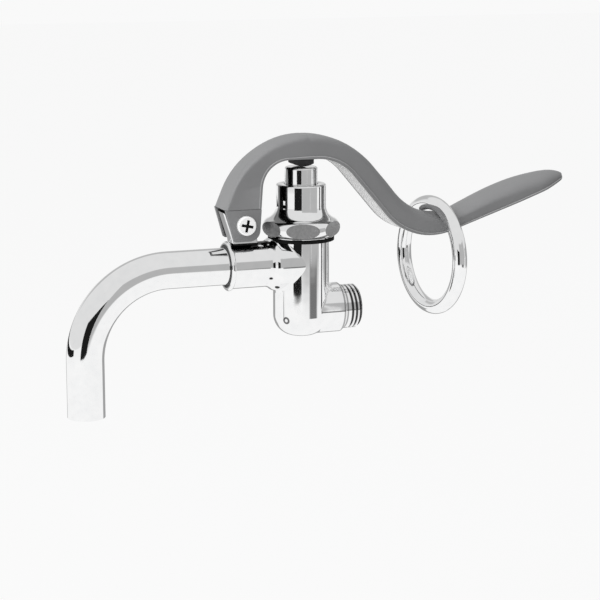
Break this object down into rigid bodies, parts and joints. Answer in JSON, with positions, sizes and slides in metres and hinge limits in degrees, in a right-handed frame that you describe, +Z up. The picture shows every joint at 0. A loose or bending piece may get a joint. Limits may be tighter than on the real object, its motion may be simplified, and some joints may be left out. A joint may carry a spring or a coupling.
{
  "type": "pre rinse faucet",
  "caption": "Squeeze valve with a hooked spout: a curved hand lever presses a spring button, and a ring hung on the lever holds it down.",
  "frame": {"origin": "centre of the shoulder face behind the inlet's thread", "axes": "+X out of the inlet, away from the spout; +Z up, along the valve stem towards the button; -Y the side of the fulcrum screw's head"},
  "size_m": [0.2276, 0.052, 0.1148],
  "materials": {
    "body_chrome": "polished plate",
    "tube_chrome": "polished plate",
    "seal_rubber": "matte black",
    "bonnet_chrome": "polished plate",
    "gasket_rubber": "matte black",
    "button_chrome": "polished plate",
    "stem_brass": "turned",
    "guide_brass": "turned",
    "ring_rubber": "matte black",
    "spring_steel": "drawn wire",
    "seat_steel": "turned",
    "washer_rubber": "matte black",
    "holder_brass": "turned",
    "inner_screw_steel": "turned",
    "lever_gray": "semi-matte gray",
    "lever_metal": "bright",
    "pad_black": "matte black",
    "screw_steel": "plated",
    "bushing_brass": "turned",
    "washer_plastic": "natural",
    "ring_chrome": "polished plate"
  },
  "bodies": {
    "valve": {"valve_body": "body_chrome", "hook_spout": "tube_chrome", "spout_seal": "seal_rubber", "bonnet": "bonnet_chrome", "bonnet_gasket": "gasket_rubber", "stem_guide": "guide_brass", "stem_seal": "ring_rubber", "guide_seal": "ring_rubber", "return_spring": "spring_steel", "valve_seat": "seat_steel", "fulcrum_bushing": "bushing_brass", "fulcrum_washers": "washer_plastic"},
    "plunger": {"push_button": "button_chrome", "valve_stem": "stem_brass", "seat_washer": "washer_rubber", "washer_holder": "holder_brass", "washer_screw": "inner_screw_steel"},
    "lever": {"lever_cover": "lever_gray", "lever_core": "lever_metal", "lever_pad": "pad_black", "fulcrum_screw": "screw_steel", "fulcrum_nut": "screw_steel"},
    "ring": {"hold_down_ring": "ring_chrome"}
  },
  "joints": [
    {"name": "lever_squeeze", "type": "hinge", "parent": "valve", "child": "lever", "pos_m": [-0.0448, 0, 0.0392], "axis": [0, 1, 0], "range_deg": [0, 7.5]},
    {"name": "stem_press", "type": "slide", "parent": "valve", "child": "plunger", "axis": [0, 0, -1], "range_m": [0, 0.0038], "stiffness_N_per_m": 2000, "springref_m": -0.004, "deforming": ["return_spring"]},
    {"name": "ring_swing", "type": "hinge", "parent": "lever", "child": "ring", "pos_m": [0.0439, 0, 0.04318], "axis": [-0.1323, 0.9912, 0], "range_deg": [-35, 35]}
  ],
  "couplings": [
    {"joint": "stem_press", "follows": "lever_squeeze", "m_per_rad": 0.0285}
  ]
}
